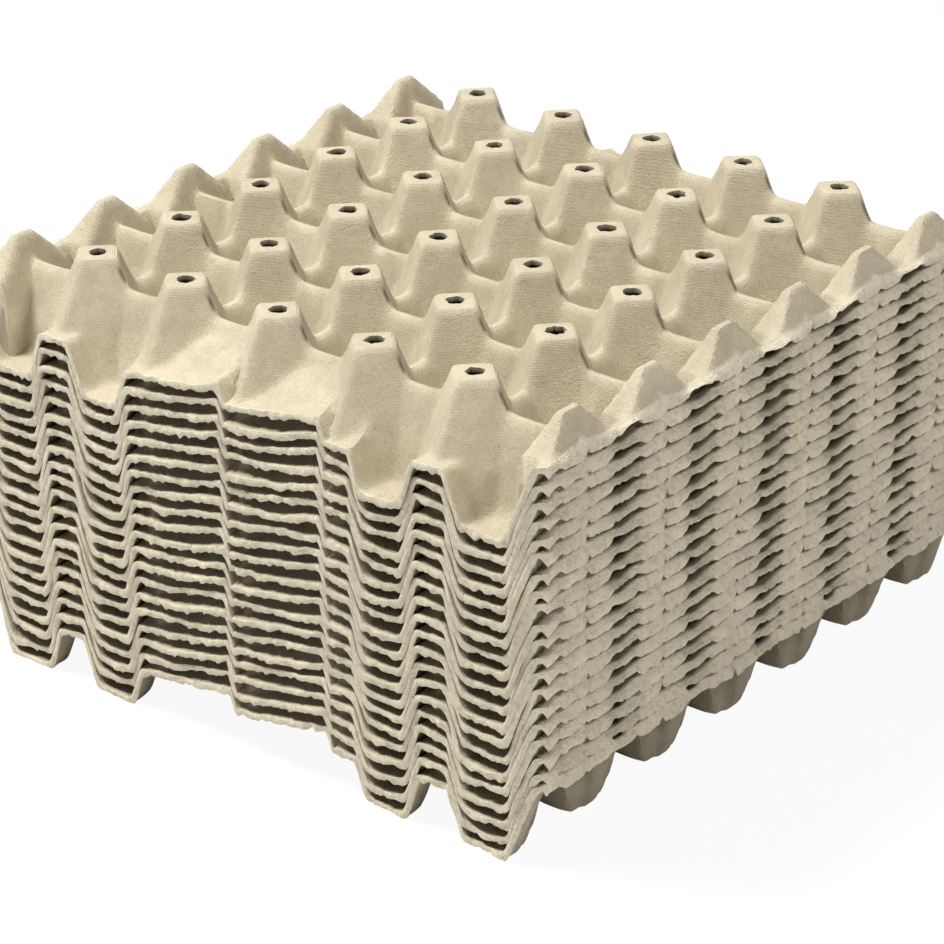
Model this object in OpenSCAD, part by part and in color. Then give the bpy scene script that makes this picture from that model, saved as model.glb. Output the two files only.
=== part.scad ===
// Stack of moulded pulp egg trays, thirty cells each, nested one in the next.
// Millimetres, Z up. The stack stands on the cup undersides of its lowest tray.
// X runs along the rows of six cells, Y along the rows of five, and -Y is the front end.

/* [Stack] */
// Trays in the stack
tray_count = 20; // [2:1:24]
// Step from one nested tray to the next
nest_step = 7; // [6.5:0.1:7.5]
// Upright room between the walls of two nested trays
nest_gap = 0.38; // [0.2:0.02:0.6]

/* [Tray] */
// Distance from one egg cell to the next
cell = 48.5; // [46:0.5:52]
// Height from the underside of a cup to the top of a post
tray_h = 50; // [47:0.5:54]
// Thickness of the pulp
wall = 2.1; // [1.9:0.05:2.3]
// Reach of the two ends past the last rows of posts
end_reach = 28; // [26:0.5:30]
// Radius of the tray's four corners
corner_r = 15; // [10:1:20]

/* [Posts] */
// Width of a post's square top
post_w = 16; // [15:0.5:18]
// Diameter of the hole in a post's top
hole_d = 7.5; // [5:0.5:9]

/* [Ridges] */
// Drop from the post tops to the ridges along X, where they leave a post
ridge_drop = 10.5; // [9:0.5:13]
// Sag of a ridge along X halfway between two posts
ridge_sag = 1.8; // [1:0.1:2.5]
// Width of the top of a ridge along X
ridge_w = 3.6; // [3:0.1:5]
// Drop from the post tops to the ridges along Y
cross_drop = 18; // [16:0.5:20]
// Width of the top of a ridge along Y
cross_w = 5.4; // [4:0.1:7]

/* [Side rims] */
// Drop from the post tops to the rim
rim_drop = 13; // [12:0.5:15]
// Width of the flat on the rim
rim_w = 3; // [2:0.1:4]
// Reach of the rim past the outer edge of the outer cells
rim_reach = 1.7; // [1:0.1:3]
// Height of the lip turned down from the rim
lip_h = 6.5; // [6:0.5:8]
// Depth of the scallop in the lip at the middle of a cell
scallop = 3.5; // [2:0.5:4]
// Radius of that scallop
scallop_r = 16; // [12:1:20]
// Drop from the post tops to the half posts on the rims
half_drop = 1.5; // [0.5:0.5:3]

/* [Ends] */
// Drop from the post tops to the piers in front of the outer posts
pier_drop = 27.5; // [25:0.5:30]
// Width of a pier's top
pier_w = 16; // [14:0.5:18]
// Drop from the post tops to the high side of a ledge
ledge_high = 23; // [21:0.5:25]
// Drop from the post tops to the low side of a ledge
ledge_low = 32; // [30:0.5:34]
// Length of each of the two ledges in the middle of an end
ledge_w = 51; // [46:1:53]
// Length of the low shoulder beside the ledges
shoulder_w = 15; // [12:1:16]
// Rise of the ledges towards the posts, in degrees
ledge_rise = 20; // [16:1:22]

/* [Hidden] */
$fn = 48;
columns = 6;
rows = 5;
// A cut or a hidden end reaches this far past what it has to clear
past = 5;
// Forms under the sheet start this far below the floor
deep = 20;
// Lean from upright at which walls of this thickness nest at this step
draft = asin(wall / (nest_step - nest_gap));
flare = tan(draft);
row_y = cell * rows / 2;
side_x = cell * columns / 2;
half_l = row_y + end_reach;
rim_z = tray_h - rim_drop;
rim_out = side_x + rim_reach;
rim_in = rim_out - rim_w;
half_w = rim_out + lip_h * flare;
lip_z = rim_z - lip_h;
half_z = tray_h - half_drop;
ridge_z = tray_h - ridge_drop;
sag_r = (pow(cell / 2, 2) + pow(ridge_sag, 2)) / (2 * ridge_sag);
pulp = [0.80, 0.76, 0.67];

// Outline of a raised form with leaning sides: its top runs from [a, za] to [b, zb].
// Taken in by inset all round it is the space under a sheet of that thickness, and
// where its sides then meet below its top it ends in a peak.
function raised(a, b, za, zb, lean, inset) =
    let (t = tan(lean))
    let (k = inset / cos(lean))
    let (m = b > a ? (zb - za) / (b - a) : 0)
    let (q = inset * sqrt(1 + m * m))
    let (z1 = za + (m * k - q) / (1 - m * t))
    let (z2 = zb - (m * k + q) / (1 + m * t))
    let (x1 = a - (za - z1) * t + k)
    let (x2 = b + (zb - z2) * t - k)
    let (left = a - (za + deep) * t + k)
    let (right = b + (zb + deep) * t - k)
    let (peak = [(left + right) / 2, (right - left) / 2 / t - deep])
    x2 - x1 > 0.05
        ? [[left, -deep], [right, -deep], [x2, z2], [x1, z1]]
        : [[left, -deep], [right, -deep], peak];

// Extrude an outline in X and Z from y0 to y1
module along_y(y0, y1) {
    translate([0, y1, 0])
        rotate([90, 0, 0])
            linear_extrude(y1 - y0)
                children();
}

// Extrude an outline in Y and Z from x0 to x1
module along_x(x0, x1) {
    translate([x0, 0, 0])
        rotate([90, 0, 90])
            linear_extrude(x1 - x0)
                children();
}

// One post: a square pyramid set corner-on to the rows
module post(top, inset) {
    reach = post_w + (top + deep) * flare;
    side = raised(-post_w / 2, post_w / 2, top, top, draft, inset);
    rotate([0, 0, 45]) {
        intersection() {
            along_x(-reach, reach)
                polygon(side);
            along_y(-reach, reach)
                polygon(side);
        }
    }
}

// Thirty posts between the cells, and a row of half posts on each rim
module posts(inset) {
    for (i = [0 : rows])
        translate([0, i * cell - row_y, 0]) {
            for (j = [1 : columns - 1])
                translate([j * cell - side_x, 0, 0])
                    post(tray_h, inset);
            for (side = [-1, 1])
                translate([side * half_w, 0, 0])
                    post(half_z, inset);
        }
}

// One ridge along X, sagging between its posts if fine
module ridge(inset, fine) {
    half = fine ? ridge_w / 2 : 0;
    intersection() {
        along_x(-half_w, half_w)
            polygon(raised(-half, half, ridge_z, ridge_z, draft, inset));
        if (fine)
            along_y(-cell / 2, cell / 2)
                difference() {
                    translate([-half_w, -deep])
                        square([2 * half_w, ridge_z + deep]);
                    for (j = [0.5 : columns])
                        translate([j * cell - side_x, ridge_z + sag_r - ridge_sag])
                            circle(r = sag_r + inset, $fn = 96);
                }
    }
}

// Ridges along X in every row of posts, and cross ridges along Y between them
module ridges(inset, fine) {
    cross_z = tray_h - cross_drop;
    half = fine ? cross_w / 2 : 0;
    for (i = [0 : rows])
        translate([0, i * cell - row_y, 0])
            ridge(inset, fine);
    for (j = [1 : columns - 1])
        translate([j * cell - side_x, 0, 0])
            along_y(-row_y, row_y)
                polygon(raised(-half, half, cross_z, cross_z, draft, inset));
}

// The rim along one long side, down to the foot of its outer wall
module rim(inset) {
    along_y(-half_l - past, half_l + past)
        polygon(raised(rim_in, half_w + past, rim_z, rim_z, draft, inset));
}

// A pier in front of each outer post of an end
module piers(inset) {
    pier_z = tray_h - pier_drop;
    for (side = [-1, 1])
        along_y(-half_l - past, -row_y)
            translate([side * (side_x - cell), 0])
                polygon(raised(-pier_w / 2, pier_w / 2, pier_z, pier_z, draft, inset));
}

// Between the piers, two tilted ledges and a shoulder that rise towards the posts
module ledges(inset) {
    // Heights and lean are stated at the end of the tray, and the ledges are turned up from it
    low = (tray_h - ledge_low) * cos(ledge_rise);
    high = (tray_h - ledge_high) * cos(ledge_rise);
    lean = asin(sin(draft) / cos(ledge_rise));
    start = -ledge_w - shoulder_w / 2;
    intersection() {
        translate([-side_x, -half_l - past, -deep])
            cube([2 * side_x, half_l + past - row_y, tray_h + deep]);
        translate([0, -half_l, 0])
            rotate([ledge_rise, 0, 0])
                along_y(-tray_h, tray_h) {
                    for (n = [0, 1])
                        translate([start + n * ledge_w, 0])
                            polygon(raised(0, ledge_w, low, high, lean, inset));
                    translate([start + 2 * ledge_w, 0])
                        polygon(raised(0, shoulder_w, low, low, lean, inset));
                }
    }
}

// Everything under the sheet, taken in by the thickness of the pulp where inset is that
module under_sheet(inset, fine) {
    top_x = rim_out - rim_drop * flare;
    intersection() {
        along_y(-half_l - past, half_l + past)
            polygon(raised(-top_x, top_x, tray_h, tray_h, draft, inset));
        union() {
            posts(inset);
            ridges(inset, fine);
            for (turn = [0, 180])
                rotate([0, 0, turn]) {
                    rim(inset);
                    piers(inset);
                    ledges(inset);
                }
        }
    }
}

// Plan of the tray with its rounded corners, left wide where the lips end by themselves
module plan() {
    difference() {
        square([2 * (half_w + past), 2 * half_l], center = true);
        for (turn = [0, 180])
            rotate(turn)
                for (side = [-1, 1])
                    translate([side * (half_w - corner_r), half_l - corner_r])
                        difference() {
                            translate([side > 0 ? 0 : -corner_r - past, 0])
                                square(corner_r + past);
                            circle(r = corner_r);
                        }
    }
}

// What the lower edge of a lip leaves free, with a scallop at each cell
module below_lip() {
    start = (rim_in + rim_out) / 2;
    reach = half_w + 2 * past - start;
    translate([start, -half_l - past, -past])
        cube([reach, 2 * (half_l + past), lip_z + past]);
    for (i = [0.5 : rows])
        translate([start, i * cell - row_y, lip_z + scallop - scallop_r])
            rotate([0, 90, 0])
                cylinder(h = reach, r = scallop_r);
}

// One moulded tray, standing on the undersides of its cups. The top one is fine: a tray that
// another covers is finished plainly, with creased ridges and closed posts.
module tray(fine) {
    difference() {
        intersection() {
            linear_extrude(tray_h)
                plan();
            union() {
                translate([-rim_in, -half_l, 0])
                    cube([2 * rim_in, 2 * half_l, wall]);
                under_sheet(0, fine);
            }
        }
        under_sheet(wall, fine);
        for (turn = [0, 180])
            rotate([0, 0, turn])
                below_lip();
        if (fine)
            for (i = [0 : rows])
                for (j = [1 : columns - 1])
                    translate([j * cell - side_x, i * cell - row_y, tray_h - wall - past])
                        cylinder(h = wall + 2 * past, d = hole_d);
    }
}

for (k = [0 : tray_count - 1])
    color(pulp)
            translate([0, 0, k * nest_step])
                tray(k == tray_count - 1);
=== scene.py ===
# %% [markdown]
# # A stack of pulp egg trays
# Twenty moulded pulp trays are nested in each other. The solids from the CAD model give every tray
# its place and size. This lesson dresses each of them as soft, fibrous pulp: rounded folds, ragged
# cut edges and torn holes, all made from one grid that is pulled up into the tray's form.

import math

import bmesh
import bpy
import numpy as np
from mathutils import Matrix, Vector


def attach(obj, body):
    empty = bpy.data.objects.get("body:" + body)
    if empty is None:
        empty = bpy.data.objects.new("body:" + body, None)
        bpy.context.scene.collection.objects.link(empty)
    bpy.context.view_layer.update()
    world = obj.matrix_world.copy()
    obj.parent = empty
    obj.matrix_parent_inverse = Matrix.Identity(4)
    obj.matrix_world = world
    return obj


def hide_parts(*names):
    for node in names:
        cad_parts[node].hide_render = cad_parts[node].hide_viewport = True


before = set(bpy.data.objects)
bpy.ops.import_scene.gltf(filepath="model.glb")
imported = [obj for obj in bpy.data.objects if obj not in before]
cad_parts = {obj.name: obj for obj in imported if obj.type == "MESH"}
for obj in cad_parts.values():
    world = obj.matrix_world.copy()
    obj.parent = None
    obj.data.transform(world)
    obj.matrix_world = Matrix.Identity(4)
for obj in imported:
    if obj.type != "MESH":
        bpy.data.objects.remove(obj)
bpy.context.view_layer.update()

# %% [markdown]
# ## Sizes
# The sizes are those of the moulded tray, in millimetres. A wall leans by the draft, so that one
# tray slides down into the next until only a hair of air is left between them.

# %% Sizes of one tray
TRAYS = 20
STEP = 7.0
GAP = 0.38
WALL = 2.1
CELL = 48.5
TRAY_H = 50.0
END_REACH = 28.0
CORNER_R = 15.0
POST_W = 16.0
RIDGE_Z = TRAY_H - 10.5
RIDGE_SAG = 1.8
RIDGE_W = 3.6
CROSS_Z = TRAY_H - 18.0
CROSS_W = 5.4
RIM_Z = TRAY_H - 13.0
RIM_W = 3.0
RIM_REACH = 1.7
LIP_H = 6.5
HALF_Z = TRAY_H - 1.5
PIER_Z = TRAY_H - 27.5
PIER_W = 16.0
LEDGE_HIGH = TRAY_H - 23.0
LEDGE_LOW = TRAY_H - 32.0
LEDGE_W = 51.0
SHOULDER_W = 15.0

DRAFT = math.asin(WALL / (STEP - GAP))
STEEP = 1 / math.tan(DRAFT)
ROW_Y = CELL * 2.5
SIDE_X = CELL * 3
HALF_L = ROW_Y + END_REACH
RIM_OUT = SIDE_X + RIM_REACH
RIM_IN = RIM_OUT - RIM_W
HALF_W = RIM_OUT + LIP_H / STEEP
print("draft", round(math.degrees(DRAFT), 2), "half width", round(HALF_W, 2), "half length", HALF_L)

# %% [markdown]
# ## What drying does to a tray
# A real tray departs from its mould a little. The rim sags between the half posts, the lip has
# worn to deeper scallops, and behind the lips of covered trays there are pockets. The cups of the
# lowest tray look full from outside.

# %% Sizes that only the dressed tray has
RIM_SAG = 2.6
LIP_GAP = 0.9
LIP_FLARE = 0.3
THIN_LIP = 1.6
SCALLOP = 5.2
SCALLOP_R = 12.5
POCKET = 9.0
POCKET_AIR = 0.4
HALF_SET = 1.5
HALF_IN = 138.3
FLANK_TOP = 4.5
FLANK_REACH = 20
FLANK_FOOT = 6
CUP_SWELL = 5.0
CUP_ROUND = 6.0
CREASE_AT = 12.7
print("pockets", POCKET, "mm deep, scallops", SCALLOP, "mm")

# %% [markdown]
# ## Soft forms
# Pulp has no sharp corners: where two faces meet, the wet fibres round the fold. A soft maximum of
# two heights rounds a valley, and a soft minimum rounds a crest. Noise with a seed of its own for
# each tray gives the unevenness of the material, the same at every run.


# %% Soft maximum, soft minimum, noise
def soft_max(a, b, width):
    return 0.5 * (a + b + np.sqrt((a - b) ** 2 + width * width))


def soft_min(a, b, width):
    return 0.5 * (a + b - np.sqrt((a - b) ** 2 + width * width))


def lattice(i, j, seed):
    s = np.sin(i * 127.1 + j * 311.7 + seed * 74.7) * 43758.5453
    return s - np.floor(s)


def noise(x, y, seed):
    """Smooth value noise between -1 and 1, one lump for each unit of length."""
    i, j = np.floor(x), np.floor(y)
    u, v = x - i, y - j
    u, v = u * u * (3 - 2 * u), v * v * (3 - 2 * v)
    low = lattice(i, j, seed) * (1 - u) + lattice(i + 1, j, seed) * u
    high = lattice(i, j + 1, seed) * (1 - u) + lattice(i + 1, j + 1, seed) * u
    return 2 * (low * (1 - v) + high * v) - 1


def tray_seed(number):
    return 11 * number


print("noise at a few places", noise(np.array([0.3, 1.7]), np.array([0.2, 2.9]), 3))

# %% [markdown]
# ## Posts, ridges and ledges
# The upper face of a tray is a height over the plan: a floor, and raised forms that stand on it.
# The lower face is the same form with every plane taken in by the thickness of the pulp: a flat
# one by the thickness itself, a leaning one by the step less its air. So each form takes an inset,
# which is 0 for the upper face.


# %% Raised forms
def drop(inset):
    """How far a leaning plane comes down when it is taken in by the inset."""
    return inset / math.sin(DRAFT)


def rounded(d, radius):
    return np.sqrt(d * d + radius * radius)


def pyramid(dx, dy, top, inset, fold):
    """A post: a flat top, and four leaning faces whose corners are rounded."""
    corner = 1.2
    across = rounded(dx, corner) + rounded(dy, corner) - 0.25
    reach = across / math.sqrt(2) - POST_W / 2
    return soft_min(top - inset, top - reach * STEEP - drop(inset), fold)


def bar(d, half, top, inset, fold):
    """A ridge with leaning sides, seen across its length."""
    side = top + (half - np.abs(d)) * STEEP - drop(inset)
    return soft_min(top - inset, side, fold)


def ledge(x, start, width, left, right, inset):
    """A ledge that tilts from its left to its right end, and drops steeply at both."""
    t = np.clip((x - start) / width, 0, 1)
    top = left + (right - left) * (0.35 * t + 0.65 * t * t) - inset
    # Away from an end its fall is lifted out of the way
    away = 40
    left_fall = left - (start - x) * STEEP - drop(inset) + away * (x > start + 8)
    right_fall = right + (start + width - x) * STEEP - drop(inset) + away * (x < start + width - 12)
    return soft_min(top, soft_min(left_fall, right_fall, 0.5), 1.2)


def nearest_post(x, y):
    """Place in plan of the post that stands nearest."""
    column = np.clip(np.round(x / CELL), -2, 2) * CELL
    row = np.clip(np.round(y / CELL - 0.5), -3, 2) * CELL + CELL / 2
    return column, row


def mid_cell(dy):
    """0 in a row of posts, 1 halfway between two rows."""
    return np.sin(math.pi * dy / CELL) ** 2


print("height on a post", pyramid(np.array([0.0]), np.array([0.0]), TRAY_H, 0.0, 0.9))

# %% [markdown]
# ## Sides and ends
# A rim with half posts runs down each side. Each end has piers in front of its outer posts, and
# tilted ledges between them that rise towards the rows. The back end is the front one turned half
# round.


# %% Sides
def rim_form(ax, ay, dy, inset, number, fold):
    """The rim. Between covered trays it is broad at the cells, and leaves dark pockets there, as
    far as they stay under the top tray."""
    room = (TRAYS - number) * STEP / STEEP - POCKET_AIR
    deep = 0.0 if number == 1 else min(POCKET, max(0.0, room))
    pocket = np.where(ay > ROW_Y, 0, deep * mid_cell(dy))
    inner = RIM_Z - (RIM_IN - pocket - ax) * STEEP - drop(inset)
    return soft_min(RIM_Z - RIM_SAG * mid_cell(dy) - inset, inner, fold)


def half_posts(ax, dy, inset, number, fold):
    """Half posts a little in from the edge of the rim, with flanks that run down to it."""
    swell = CUP_SWELL if number == 1 and inset > 0 else 0.0
    halves = pyramid(ax - HALF_W - swell, dy, HALF_Z, inset, 0.5 * fold)
    flank = HALF_Z - 1.0 * np.maximum(np.abs(dy) - FLANK_TOP, 0)
    flank = soft_min(flank, HALF_Z - (HALF_IN - ax) * STEEP, fold) - drop(inset)
    # Under the rim its inner face is nearly upright, to leave the cell its width
    flank = flank - 4 * np.maximum(RIM_Z - FLANK_FOOT - flank, 0)
    flank = np.where(np.abs(dy) < FLANK_REACH, flank, -100)
    set_in = RIM_Z - (ax - RIM_OUT + HALF_SET) * STEEP - drop(inset)
    return soft_min(np.maximum(halves, flank), set_in, 0.5 * fold)


# %% Ends
def end_forms(x, y, inset, fold):
    """Piers and ledges. Both fall away steeply before the rows of posts."""
    ax, ay = np.abs(x), np.abs(y)
    before_rows = 3 * np.maximum(ROW_Y - ay, 0)
    piers = bar(ax - 2 * CELL, PIER_W / 2, PIER_Z, inset, fold) - before_rows
    along = np.where(y < 0, x, -x)
    start = -LEDGE_W - SHOULDER_W / 2
    steps = ledge(along, start, LEDGE_W, LEDGE_LOW, LEDGE_HIGH, inset)
    second = ledge(along, start + LEDGE_W, LEDGE_W, LEDGE_LOW, LEDGE_HIGH, inset)
    shoulder = ledge(along, start + 2 * LEDGE_W, SHOULDER_W, LEDGE_LOW, LEDGE_LOW, inset)
    steps = np.maximum(np.maximum(steps, second), shoulder)
    # They rise gently from the end, and more from 6 mm in
    depth = HALF_L - ay
    rise = 0.12 * depth + 0.25 * (depth - 6 + np.sqrt((depth - 6) ** 2 + 9))
    steps = soft_min(steps + rise, RIDGE_Z - 1.5 - inset, 3.0) - before_rows
    return piers, steps


print("rim at a row", rim_form(np.array([RIM_OUT]), np.array([0.0]), np.array([0.0]), 0.0, 1, 1.8))

# %% [markdown]
# ## The whole sheet
# The forms are joined by soft maxima, the wider the rounder, and cut by the outer wall. All trays
# come from one mould and share its waves. Each has small ones of its own, larger towards its
# edges, where a thin sheet dries out of true.


# %% Height of the sheet
def unevenness(x, y, number):
    seed = tray_seed(number)
    uneven = 0.35 * noise(x / 31, y / 31, 1) + 0.12 * noise(x / 6, y / 6, seed)
    near_end = np.clip((np.abs(y) - HALF_L + 14) / 14, 0, 1)
    near_side = np.clip((np.abs(x) - RIM_OUT + 9) / 9, 0, 1)
    loose = 0.9 * noise(x / 21, y / 21, seed + 2) + 0.35 * noise(x / 5, y / 5, seed + 6)
    return uneven + (near_end + 0.5 * near_side) * loose - 0.2


def sheet_height(x, y, inset, number):
    """Height of the upper face, or with an inset that of the lower one."""
    # The lowest tray shows its cups from outside, and they are round
    full = CUP_ROUND if number == 1 else 1.0
    fold = 1.8 if inset == 0 else 0.6
    column, row = nearest_post(x, y)
    dx, dy = x - column, y - row
    ax, ay = np.abs(x), np.abs(y)
    posts = pyramid(dx, dy, TRAY_H, inset, 0.5 * fold)
    middle = np.floor(x / CELL) * CELL + CELL / 2
    sag = RIDGE_SAG * (1 - ((x - middle) / (CELL / 2)) ** 2)
    ridges = bar(dy, RIDGE_W / 2, RIDGE_Z - sag, inset, fold)
    past_rows = 3 * np.maximum(ay - ROW_Y, 0)
    crosses = bar(dx, CROSS_W / 2, CROSS_Z, inset, 2 * fold) - past_rows
    piers, steps = end_forms(x, y, inset, fold)

    walls = soft_max(posts, ridges, 1.5)
    walls = soft_max(walls, crosses, 3.0)
    walls = soft_max(walls, half_posts(ax, dy, inset, number, fold), 1.0 * full)
    walls = soft_max(walls, rim_form(ax, ay, dy, inset, number, fold), 1.5 * full)
    walls = soft_max(walls, piers, 2.0)
    walls = soft_max(walls, steps, 2.0)
    outer = RIM_Z - (ax - RIM_OUT) * STEEP - drop(inset)
    walls = soft_min(walls, outer, fold)
    height = soft_max(walls, WALL - inset + 0 * x, 4.5 if inset == 0 else 3.0)
    # A short crease where a ridge leaves a post
    crease = np.exp(-((np.abs(dx) - CREASE_AT) / 1.2) ** 2 - (dy / 2.6) ** 2)
    return height - 1.0 * crease + unevenness(x, y, number)


probe = np.array([0.0, 24.25, 24.25])
print("post, cup, ridge", sheet_height(probe, np.array([24.25, 0.0, 24.25]), 0.0, TRAYS))

# %% [markdown]
# ## Grid lines
# The grid has its lines where the form has its edges. Near a post the steps are equal along both
# ways, so that the slanting edges of its top run corner to corner through the squares. The trays
# in the middle of the stack show only their edges, so their lines stand further apart.


# %% Lines of the grid
def lines(points, pitches):
    """Positions from 0 out to the last point, in equal steps of about the pitch of each span."""
    out = [0.0]
    for end, pitch in zip(points, pitches):
        first, n = out[-1], max(1, round((end - out[-1]) / pitch))
        out += [first + (end - first) * (k + 1) / n for k in range(n)]
    return [-v for v in reversed(out[1:])] + out


TIP = POST_W / math.sqrt(2)
TOP_EDGE = RIM_OUT + 0.1
X_POINTS = [TIP, CELL - TIP, CELL, CELL + TIP, 2 * CELL - TIP, 2 * CELL, 2 * CELL + TIP,
            HALF_W - TIP, RIM_IN - 1.0, RIM_IN + 0.6, TOP_EDGE]
Y_POINTS = [CELL / 2 - TIP, CELL / 2, CELL / 2 + TIP, CELL * 1.5 - TIP, CELL * 1.5,
            CELL * 1.5 + TIP, ROW_Y - TIP, ROW_Y, ROW_Y + TIP, HALF_L - 5.0, HALF_L]


def grid_lines(near, far, tail_x, near_y, far_y, tail_y):
    xs = [near, far, near, near, far, near, near, far] + tail_x
    ys = [far_y, near_y, near_y, far_y, near_y, near_y, far_y, near_y, near_y] + tail_y
    return lines(X_POINTS, xs), lines(Y_POINTS, ys)


FINE = grid_lines(TIP / 8, 1.44, [1.3, 0.8, 0.85], TIP / 8, 1.44, [1.35, 1.2])
PLAIN = grid_lines(TIP / 5, 2.4, [1.8, 1.6, 1.3], TIP / 2, 6.5, [3.5, 1.7])
LOWEST = grid_lines(TIP / 6, 1.75, [1.5, 1.0, 1.0], TIP / 6, 1.75, [1.7, 1.5])
for name, (xs, ys) in {"fine": FINE, "plain": PLAIN, "lowest": LOWEST}.items():
    print(name, "grid", len(xs), "by", len(ys))

# %% [markdown]
# ## A flat sheet
# A flat grid gets its four round corners by cuts, and a square of faces is taken out in each post
# for the hole.


# %% Flat grid with round corners and holes
def places(verts):
    return np.array([v.co for v in verts])


def round_corner(bm, sx, sy):
    corner = Vector((HALF_W - CORNER_R, HALF_L - CORNER_R, 0))
    cuts = 9
    for k in range(cuts):
        turn = math.radians((k + 0.5) * 90 / cuts)
        out = Vector((sx * math.cos(turn), sy * math.sin(turn), 0))
        near = [f for f in bm.faces
                if all(sx * v.co.x > corner.x - 3 and sy * v.co.y > corner.y - 3 for v in f.verts)]
        geom = near + list({e for f in near for e in f.edges})
        geom += list({v for f in near for v in f.verts})
        point = Vector((sx * corner.x, sy * corner.y, 0)) + out * CORNER_R
        bmesh.ops.bisect_plane(bm, geom=geom, dist=1e-5, plane_co=point, plane_no=out,
                               clear_outer=True)


def flat_sheet(xs, ys, hole_half):
    bm = bmesh.new()
    bmesh.ops.create_grid(bm, x_segments=len(xs) - 1, y_segments=len(ys) - 1, size=1.0)
    for v in bm.verts:
        i = round((v.co.x + 1) / 2 * (len(xs) - 1))
        j = round((v.co.y + 1) / 2 * (len(ys) - 1))
        v.co = (xs[i], ys[j], 0)
    for sx in (-1, 1):
        for sy in (-1, 1):
            round_corner(bm, sx, sy)
    centres = np.array([f.calc_center_median() for f in bm.faces])
    column, row = nearest_post(centres[:, 0], centres[:, 1])
    off = np.maximum(np.abs(centres[:, 0] - column), np.abs(centres[:, 1] - row))
    gone = [f for f, d in zip(bm.faces, off) if d < hole_half]
    bmesh.ops.delete(bm, geom=gone, context="FACES")
    return bm


trial = flat_sheet(*FINE, 2.9)
print("flat sheet", len(trial.faces), "faces")
trial.free()

# %% [markdown]
# ## Rough edges
# The edges are where pulp shows its nature: the cut at the ends runs unevenly, the lip along a
# side hangs ragged, and a hole is torn open rather than drilled. Edges get more points first, so
# that there is something to roughen.


# %% More points along the edges, and torn holes
def refine_edges(bm):
    side = [e for e in bm.edges
            if e.is_boundary and all(abs(v.co.x) > TOP_EDGE - 0.01 for v in e.verts)]
    long_side = [e for e in side if e.calc_length() > 2.2]
    bmesh.ops.subdivide_edges(bm, edges=long_side, cuts=3)
    end = [e for e in bm.edges
           if e.is_boundary and all(abs(v.co.y) > HALF_L - 0.01 for v in e.verts)]
    bmesh.ops.subdivide_edges(bm, edges=[e for e in end if e.calc_length() > 1.2], cuts=1)


def tear_holes(bm, hole_r, seed):
    """The square of missing faces in a post becomes an uneven round."""
    rim_of_hole = set()
    for e in bm.edges:
        inside = all(abs(v.co.x) < TOP_EDGE - 8 and abs(v.co.y) < HALF_L - 8 for v in e.verts)
        if e.is_boundary and inside:
            rim_of_hole.update(e.verts)
    verts = list(rim_of_hole)
    if not verts:
        return
    flat = places(verts)
    column, row = nearest_post(flat[:, 0], flat[:, 1])
    torn = noise(flat[:, 0] * 0.9, flat[:, 1] * 0.9, seed + 7)
    for v, cx, cy, t in zip(verts, column, row, torn):
        d = Vector((v.co.x - cx, v.co.y - cy)).normalized() * hole_r * (1 + 0.2 * t)
        v.co.x, v.co.y = cx + d.x, cy + d.y


# %% Uneven cuts
def shift_edges(x, y, seed, lower):
    """Where the points of the flat sheet go in plan, and which of them lie on a cut edge."""
    ax, ay = np.abs(x), np.abs(y)
    cut_x = np.maximum(ax - (HALF_W - CORNER_R), 0)
    cut_y = np.maximum(ay - (HALF_L - CORNER_R), 0)
    at_end = (np.hypot(cut_x, cut_y) > CORNER_R - 0.3) | (ay > HALF_L - 0.01)
    at_end &= cut_y > 0
    rough = 1.1 * noise(x / 17, y / 17, seed)
    rough = rough + 0.55 * noise(x / 3.1, y / 3.1, seed + 1 + lower)
    rough = rough + 0.35 * noise(x / 1.1, y / 1.1, seed + 12 + lower)
    new_y = y + np.where(at_end, np.sign(y) * (rough - 0.25 * lower), 0)
    at_side = ax > TOP_EDGE - 0.01
    wave = 0.6 * noise(0 * x + np.sign(x), y / 17, seed + 3)
    new_x = x + np.where(at_side, np.sign(x) * wave, 0)
    return new_x, new_y, at_end, at_side


def hang_lip(x, y, nx, z, at_side, number):
    """The lower edge of the lip: scallops at the cells, splits at the half posts, a ragged line."""
    seed = tray_seed(number)
    row = nearest_post(x, y)[1]
    dy = y - row
    from_cell = CELL / 2 - np.abs(dy)
    dip = np.sqrt(np.maximum(SCALLOP_R ** 2 - from_cell ** 2, 0)) + SCALLOP - SCALLOP_R
    hang = RIM_Z - LIP_H + LIP_GAP + np.maximum(0, dip)
    hang = np.minimum(hang, RIM_Z - THIN_LIP - RIM_SAG * mid_cell(dy))
    split = np.maximum(0, 1 - np.abs(dy) / 1.6)
    split = split * (1.8 + 1.8 * noise(row / 9, 0 * row + number, 5))
    ragged = 0.6 * noise(x, y / 1.7, seed + 4) + 0.9 * noise(x, y / 8, seed + 5)
    # Towards the corners the lip runs out
    fade = np.clip((HALF_L - 8 - np.abs(y)) / 5, 0, 1)
    lip_x = HALF_W + LIP_FLARE + 0.9 * noise(0 * x + np.sign(x), y / 13, seed + 3)
    nx = np.where(at_side, np.sign(x) * (np.abs(nx) * (1 - fade) + lip_x * fade), nx)
    z = np.where(at_side, z * (1 - fade) + (hang + split + ragged) * fade, z)
    return nx, z


print("noise along a lip", noise(np.array([1.0, 1.0]), np.array([0.4, 2.3]), tray_seed(3) + 3))

# %% [markdown]
# ## Two layers
# Extruding the flat sheet gives it a second layer and closes the edges. One layer is lifted to the
# upper face of the form and the other to the lower one. Two values are kept at each point for the
# material: edge is 1 on a cut, and the other is painted shade, how dark a place in a gap, a crease
# or a hole is painted to stand for the shade that falls there.

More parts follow.
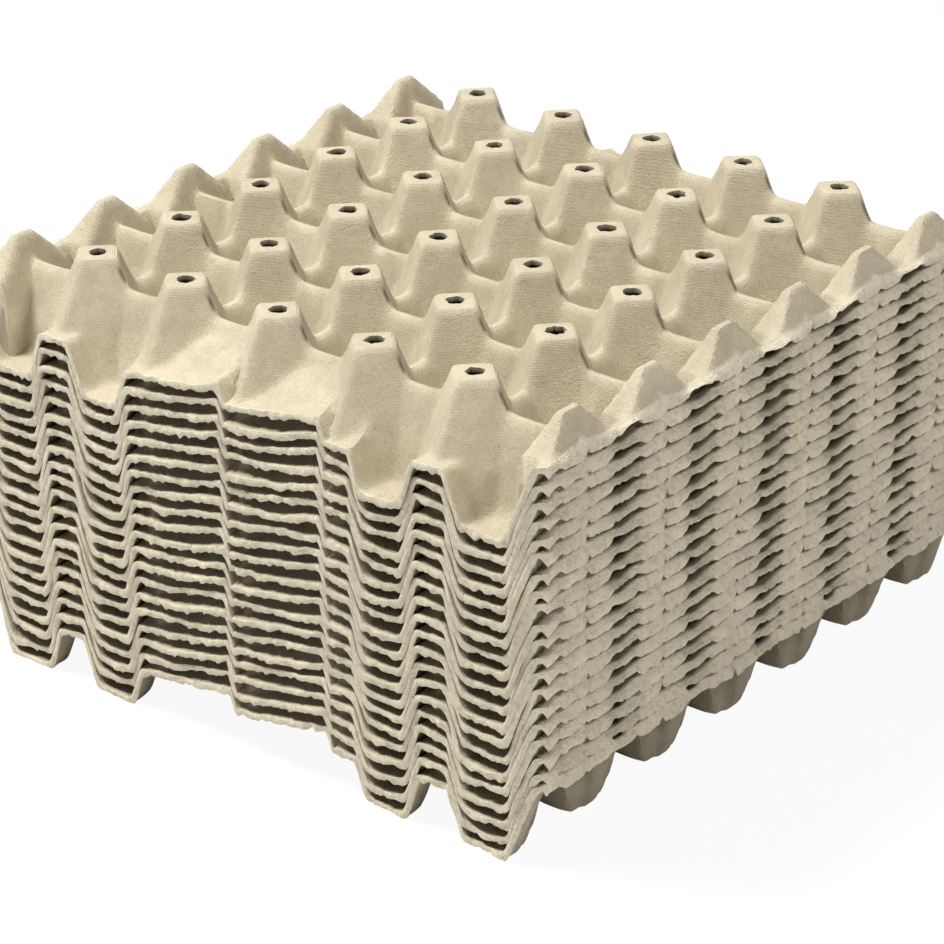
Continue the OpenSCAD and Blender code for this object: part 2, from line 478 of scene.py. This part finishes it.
# %% Lift the layers
# Strengths of the painted shade: how far the colour is darkened in a crease, a pocket, a hole, and
# on covered and lower faces
PAINTED_CREASE_SHADE, PAINTED_POCKET_SHADE, PAINTED_COVERED_SHADE = 0.9, 0.9, 0.35
PAINTED_HOLE_SHADE, PAINTED_LOWEST_SHADE, PAINTED_POCKET_ROOF_SHADE, PAINTED_UNDERSIDE_SHADE = 1.0, 0.36, 0.95, 0.7


def in_pocket(x, y):
    return (np.abs(x) > RIM_IN - 16) & (np.abs(y) < ROW_Y)


def put(bm, verts, x, y, z, cut, painted_shade):
    edge_layer, painted_shade_layer = bm.verts.layers.float["edge"], bm.verts.layers.float["painted_shade"]
    for v, *co, on_cut, dark in zip(verts, x, y, z, cut, painted_shade):
        v.co = co
        v[edge_layer] = float(on_cut)
        v[painted_shade_layer] = float(dark)


def lift_upper(bm, verts, number):
    x, y = places(verts)[:, :2].T
    nx, ny, at_end, at_side = shift_edges(x, y, tray_seed(number), 0)
    z = sheet_height(nx, ny, 0.0, number)
    cut = at_end | at_side
    column, row = nearest_post(x, y)
    dx, dy = np.abs(x - column), np.abs(y - row)
    # Painted shade: a thin dark line along the crease where a ridge leaves a post
    painted_shade = PAINTED_CREASE_SHADE * ((dy < 0.9) & (dx > 12.4) & (dx < 15.6))
    # A covered tray gets painted shade on its upper face, darker in the pockets, and none on its cut
    # edges
    if number < TRAYS:
        painted_shade = np.where(cut, 0.0, np.where(in_pocket(nx, ny), PAINTED_POCKET_SHADE, PAINTED_COVERED_SHADE))
    put(bm, verts, nx, ny, z, cut, painted_shade)


def lift_lower(bm, verts, number, hole_r):
    seed = tray_seed(number)
    x, y = places(verts)[:, :2].T
    nx, ny, at_end, at_side = shift_edges(x, y, seed, 1)
    z = sheet_height(nx, ny, WALL, number)
    nx, z = hang_lip(x, y, nx, z, at_side, number)
    # The cut hangs in shreds
    shreds = 0.7 * noise(x / 2.2, y / 2.2, seed + 15)
    shreds = shreds - 0.5 * np.abs(noise(x / 0.9, y / 0.9, seed + 16)) - 0.3
    z = z + np.where(at_end, shreds, 0)
    # The lowest tray stands on the floor
    z = np.maximum(z, (1 - number) * STEP)
    cut = at_end | at_side
    column, row = nearest_post(x, y)
    hole = np.hypot(x - column, y - row) < hole_r * 1.3
    # Painted shade on the lower face: darker under the pockets, darkest in a hole, the lowest tray's
    # underside a little darker all over, and none on the cut edges
    painted_shade = np.where(in_pocket(nx, ny), PAINTED_POCKET_ROOF_SHADE, PAINTED_UNDERSIDE_SHADE)
    if number == 1:
        painted_shade = np.full(len(x), PAINTED_LOWEST_SHADE)
    painted_shade = np.where(hole, PAINTED_HOLE_SHADE, np.where(cut, 0.0, painted_shade))
    put(bm, verts, nx, ny, z, cut, painted_shade)


# %% [markdown]
# ## One tray
# The cut edge between the two layers bulges a little, as wet pulp rounds when it dries. Each tray
# also keeps a tone of its own, because no two batches of paper are quite the same grey.


# %% Bulge and build
def bulge_edges(bm, lower, seed):
    edge_layer, painted_shade_layer = bm.verts.layers.float["edge"], bm.verts.layers.float["painted_shade"]
    low = set(lower)
    walls = [e for e in bm.edges
             if (e.verts[0] in low) != (e.verts[1] in low) and e.verts[0][edge_layer] > 0]
    split = bmesh.ops.subdivide_edges(bm, edges=walls, cuts=2, use_grid_fill=True)
    inner = [g for g in split["geom_inner"] if isinstance(g, bmesh.types.BMVert)]
    co = places(inner)
    bulge = 0.35 + 0.3 * noise(co[:, 0] / 1.7, co[:, 1] / 1.7 + co[:, 2], seed + 9)
    for v, b in zip(inner, bulge):
        v[edge_layer] = 1.0
        v[painted_shade_layer] = 0.0
        if abs(v.co.y) > HALF_L - 3:
            v.co.y += math.copysign(b, v.co.y)
        else:
            v.co.x += math.copysign(b, v.co.x)


def make_tray(number, xs, ys, hole_half, hole_r):
    bm = flat_sheet(xs, ys, hole_half)
    for layer in ("edge", "painted_shade", "tone"):
        bm.verts.layers.float.new(layer)
    refine_edges(bm)
    tear_holes(bm, hole_r, tray_seed(number))
    lower = list(bm.verts)
    made = bmesh.ops.extrude_face_region(bm, geom=bm.faces[:], use_keep_orig=True)
    upper = [g for g in made["geom"] if isinstance(g, bmesh.types.BMVert)]
    lift_upper(bm, upper, number)
    lift_lower(bm, lower, number, hole_r)
    bulge_edges(bm, lower, tray_seed(number))
    bmesh.ops.recalc_face_normals(bm, faces=bm.faces[:])
    bmesh.ops.triangulate(bm, faces=bm.faces[:], quad_method="SHORT_EDGE")
    bmesh.ops.scale(bm, vec=(0.001, 0.001, 0.001), verts=bm.verts[:])
    bmesh.ops.translate(bm, vec=(0, 0, (number - 1) * STEP / 1000), verts=bm.verts[:])
    tone_layer = bm.verts.layers.float["tone"]
    tone = float(noise(np.array([number * 1.37]), np.array([0.5]), 2)[0])
    for v in bm.verts:
        v[tone_layer] = tone
    mesh = bpy.data.meshes.new(f"pulp_tray_{number:02d}")
    bm.to_mesh(mesh)
    bm.free()
    mesh.shade_smooth()
    mesh.set_sharp_from_angle(angle=math.radians(50))
    piece = bpy.data.objects.new(mesh.name, mesh)
    bpy.context.collection.objects.link(piece)
    return piece


# %% [markdown]
# ## The stack
# The top tray has the finest grid, because the whole of it is seen. The lowest shows the rounded
# undersides of its cups, and the trays between show only their edges. The two last numbers are the
# half width of the faces left out for a hole, and the radius of the hole.

# %% Make the twenty trays
pieces = []
for number in range(1, TRAYS + 1):
    if number == TRAYS:
        piece = make_tray(number, *FINE, 2.9, 3.9)
    elif number == 1:
        piece = make_tray(number, *LOWEST, 5.0, 5.2)
    else:
        piece = make_tray(number, *PLAIN, 5.7, 6.0)
    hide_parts(f"tray_{number:02d}")
    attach(piece, "root")
    pieces.append(piece)
counts = [len(p.data.polygons) for p in pieces]
print("triangles: top", counts[-1], "lowest", counts[0], "between", counts[1], "in all", sum(counts))

# %% [markdown]
# ## Shader sums
# Shader maths reads best when sockets add and multiply like numbers, so a small class wraps a
# socket. One of its methods adds any node.


# %% A socket that works like a number
class Socket:
    def __init__(self, tree, out=None):
        self.tree, self.out = tree, out

    def node(self, kind, settings, inputs, out=0):
        made = self.tree.nodes.new(kind)
        for name, value in settings.items():
            setattr(made, name, value)
        for name, value in inputs.items():
            if isinstance(value, Socket):
                self.tree.links.new(value.out, made.inputs[name])
            else:
                made.inputs[name].default_value = value
        return Socket(self.tree, made.outputs[out] if len(made.outputs) else None)

    def math(self, operation, a, b=0.0, clamp=False):
        settings = {"operation": operation, "use_clamp": clamp}
        return self.node("ShaderNodeMath", settings, {0: a, 1: b})

    def __add__(self, other):
        return self.math("ADD", self, other)

    def __sub__(self, other):
        return self.math("SUBTRACT", self, other)

    def __mul__(self, other):
        return self.math("MULTIPLY", self, other)

    def __truediv__(self, other):
        return self.math("DIVIDE", self, other)

    def __rsub__(self, other):
        return self.math("SUBTRACT", other, self)

    def __rtruediv__(self, other):
        return self.math("DIVIDE", other, self)

    __radd__ = __add__
    __rmul__ = __mul__

    def clamped(self):
        return self.math("ADD", self, 0.0, clamp=True)

    def ramp(self, low, high):
        """0 below low, 1 above high, smooth between."""
        return self.node("ShaderNodeMapRange", {"interpolation_type": "SMOOTHSTEP"},
                         {"Value": self, "From Min": low, "From Max": high})

    def noise(self, scale, detail=2.0, rough=0.5):
        inputs = {"Vector": self, "Scale": scale, "Detail": detail, "Roughness": rough}
        return self.node("ShaderNodeTexNoise", {}, inputs)

    def stretched(self, scales):
        return self.node("ShaderNodeVectorMath", {"operation": "MULTIPLY"}, {0: self, 1: scales})

    def cells(self, scale):
        """Distance to the nearest of many scattered points."""
        return self.node("ShaderNodeTexVoronoi", {}, {"Vector": self, "Scale": scale}, "Distance")

    def bands(self, direction, scale):
        inputs = {"Vector": self, "Scale": scale, "Distortion": 0.15}
        return self.node("ShaderNodeTexWave", {"bands_direction": direction}, inputs)

    def mix(self, a, b):
        """Colour a where this is 0, colour b where it is 1."""
        # The colour sockets of a Mix node are numbers 6 and 7, and its colour output number 2
        return self.node("ShaderNodeMix", {"data_type": "RGBA"}, {0: self, 6: a, 7: b}, 2)

    def tint(self, amount, base, colour):
        """Base tinted towards a colour where this is high."""
        return (self * amount).clamped().mix(base, colour)


def new_material(name):
    material = bpy.data.materials.new(name)
    material.use_nodes = True
    material.node_tree.nodes.clear()
    return material, Socket(material.node_tree)


def colour(red, green, blue):
    return (red, green, blue, 1.0)


print("shader sums ready")

# %% [markdown]
# ## Pulp
# Moulded pulp is recycled paper: grey-beige, quite matt, mottled in patches a few millimetres wide,
# and full of short fibres, some of them dark. The mesh of the mould leaves fine crossing lines on
# its faces, and cut edges show the paler inside. All of it is read from object coordinates, in
# metres, so that nothing stretches over the steep walls.

# %% Pulp material
PULP_DARK, PULP_LIGHT = colour(0.47, 0.405, 0.285), colour(0.66, 0.585, 0.435)
FIBRE_DARK, FIBRE_PALE = colour(0.25, 0.20, 0.15), colour(0.78, 0.72, 0.59)
SPECK, PAINTED_GAP_SHADE = colour(0.22, 0.18, 0.14), colour(0.065, 0.048, 0.03)
CUT_PALE, PAINTED_HOLLOW_SHADE = colour(0.76, 0.69, 0.535), colour(0.27, 0.22, 0.14)


def fibre_pattern(s, place):
    """Long thin cells two ways, bent by a slow turn of the coordinates."""
    bend = s.node("ShaderNodeTexNoise", {}, {"Vector": place, "Scale": 90.0, "Detail": 2.0}, "Color")
    bent = s.node("ShaderNodeVectorMath", {"operation": "MULTIPLY_ADD"},
                  {0: bend, 1: (0.012, 0.012, 0.012), 2: place})
    across = bent.stretched((320.0, 1900.0, 900.0)).cells(1.0)
    along = bent.stretched((1900.0, 320.0, 1100.0)).cells(1.0)
    return (1.0 - across.ramp(0.05, 0.32)) + (1.0 - along.ramp(0.05, 0.32))


def pulp_material():
    material, s = new_material("pulp")
    place = s.node("ShaderNodeTexCoord", {}, {}, "Object")
    edge, tone, painted_shade = (s.node("ShaderNodeAttribute", {"attribute_name": name}, {}, "Fac")
                       for name in ("edge", "tone", "painted_shade"))
    broad = place.noise(24.0, 2.0)
    patch = place.noise(170.0, 3.0, 0.6)
    grain = place.noise(1100.0, 2.0, 0.6)
    fibres = fibre_pattern(s, place)
    pick = place.noise(420.0, 1.0)
    specks = 1.0 - place.cells(260.0).ramp(0.05, 0.13)

    shade = broad.ramp(0.25, 0.75) * 0.3 + patch.ramp(0.25, 0.75) * 0.3
    shade = shade + grain.ramp(0.3, 0.7) * 0.4
    base = (shade + tone * 0.12).clamped().mix(PULP_DARK, PULP_LIGHT)
    base = (fibres * pick.ramp(0.60, 0.72)).tint(0.45, base, FIBRE_DARK)
    base = (fibres * (1.0 - pick.ramp(0.30, 0.42))).tint(0.35, base, FIBRE_PALE)
    base = specks.tint(0.5, base, SPECK)
    # Cut edges are pale and frayed, with shade painted into the hollows between the fibres
    base = edge.tint(0.7, base, CUT_PALE)
    base = (edge * (1.0 - pick.ramp(0.33, 0.5))).tint(0.22, base, PAINTED_HOLLOW_SHADE)
    # Painted shade: the colour is darkened towards near-black in gaps, creases, pockets and holes,
    # and on covered and lower faces
    base = painted_shade.tint(0.92, base, PAINTED_GAP_SHADE)

    # Lines of the mould's mesh, crossing, and broken up where the pulp lay thicker
    crossing = (place.bands("DIAGONAL", 470.0) + place.bands("Z", 560.0)) * 0.5
    marks = crossing * place.noise(60.0, 2.0).ramp(0.35, 0.55)
    height = patch * 0.35 + grain * 0.7 + fibres * 0.12 + marks * 0.42
    height = height + edge * (pick * 0.6 + fibres * 0.25)
    bump = s.node("ShaderNodeBump", {}, {"Height": height, "Strength": 0.8, "Distance": 0.0008})
    surface = s.node("ShaderNodeBsdfPrincipled", {}, {
        "Base Color": base, "Roughness": 0.86 + grain * 0.12, "Normal": bump,
        "Specular IOR Level": 0.22})
    s.node("ShaderNodeOutputMaterial", {}, {"Surface": surface})
    return material


pulp = pulp_material()
for piece in pieces:
    piece.data.materials.append(pulp)
print("pulp on", len(pieces), "trays,", len(pulp.node_tree.nodes), "nodes")

# %% [markdown]
# ## Floor and light
# The photo has a plain white ground. The floor is nearly white to the camera, and keeps a faint
# shadow where the stack stands on it. A light from the upper left gives the shading, a weaker one
# opposite opens the side, and the surroundings fill the rest.

# %% Floor
bm = bmesh.new()
bmesh.ops.create_grid(bm, x_segments=1, y_segments=1, size=8.0)
floor_mesh = bpy.data.meshes.new("floor")
bm.to_mesh(floor_mesh)
bm.free()
floor = bpy.data.objects.new("floor", floor_mesh)
bpy.context.collection.objects.link(floor)

WHITE = colour(1, 1, 1)
floor_white, s = new_material("floor_white")
seen = s.node("ShaderNodeLightPath", {}, {}, "Is Camera Ray")
ground = s.node("ShaderNodeBsdfDiffuse", {}, {"Color": colour(0.85, 0.85, 0.85)})
glow = s.node("ShaderNodeEmission", {}, {"Color": WHITE, "Strength": 1.0})
both = s.node("ShaderNodeMixShader", {}, {0: seen * 0.93, 1: ground, 2: glow})
s.node("ShaderNodeOutputMaterial", {}, {"Surface": both})
floor_mesh.materials.append(floor_white)
print("floor", floor.name)

# %% Surroundings and lights
world = bpy.data.worlds.new("studio")
bpy.context.scene.world = world
world.use_nodes = True
world.node_tree.nodes.clear()
s = Socket(world.node_tree)
seen = s.node("ShaderNodeLightPath", {}, {}, "Is Camera Ray")
fill = s.node("ShaderNodeBackground", {}, {"Color": colour(1.0, 0.98, 0.95), "Strength": 0.17})
backdrop = s.node("ShaderNodeBackground", {}, {"Color": WHITE, "Strength": 1.0})
both = s.node("ShaderNodeMixShader", {}, {0: seen, 1: fill, 2: backdrop})
s.node("ShaderNodeOutputWorld", {}, {"Surface": both})


def area_light(name, place, target, size, power):
    data = bpy.data.lights.new(name, "AREA")
    data.size, data.energy = size, power
    lamp = bpy.data.objects.new(name, data)
    aim = (Vector(target) - Vector(place)).to_track_quat("-Z", "Y").to_matrix().to_4x4()
    lamp.matrix_world = Matrix.Translation(place) @ aim
    bpy.context.collection.objects.link(lamp)
    return lamp


CENTRE = (0.0, 0.0, 0.12)
key = area_light("key", (-1.05, -0.75, 2.5), CENTRE, 0.6, 92.0)
soft = area_light("soft", (1.9, -0.25, 1.9), CENTRE, 0.6, 25.0)
print("lights:", key.name, soft.name)

# %% [markdown]
# ## Camera
# The angles, the distance and the lens come from fitting the rows of posts to the photo. The
# photo's frame cuts the stack a little at its left and right corners.

# %% Camera
AZIMUTH, ELEVATION, ROLL = math.radians(39.19), math.radians(25.59), math.radians(-0.55)
FOCAL_PX, FRAME_PX = 3337.8, 944.0
EYE = Vector((0.8046, -0.9913, 0.6794))
back = Vector((math.sin(AZIMUTH) * math.cos(ELEVATION), -math.cos(AZIMUTH) * math.cos(ELEVATION),
               math.sin(ELEVATION)))
right = Vector((math.cos(AZIMUTH), math.sin(AZIMUTH), 0))
up = back.cross(right)
turned = right * math.cos(ROLL) + up * math.sin(ROLL)
upright = up * math.cos(ROLL) - right * math.sin(ROLL)
lens = bpy.data.cameras.new("camera")
lens.sensor_width = 36.0
lens.lens = FOCAL_PX / FRAME_PX * lens.sensor_width
lens.clip_end = 50.0
camera = bpy.data.objects.new("camera", lens)
axes = Matrix((turned, upright, back)).transposed().to_4x4()
camera.matrix_world = Matrix.Translation(EYE) @ axes
bpy.context.collection.objects.link(camera)
bpy.context.scene.camera = camera
bpy.context.scene.view_settings.view_transform = "Standard"
print("lens", round(lens.lens, 1), "mm")
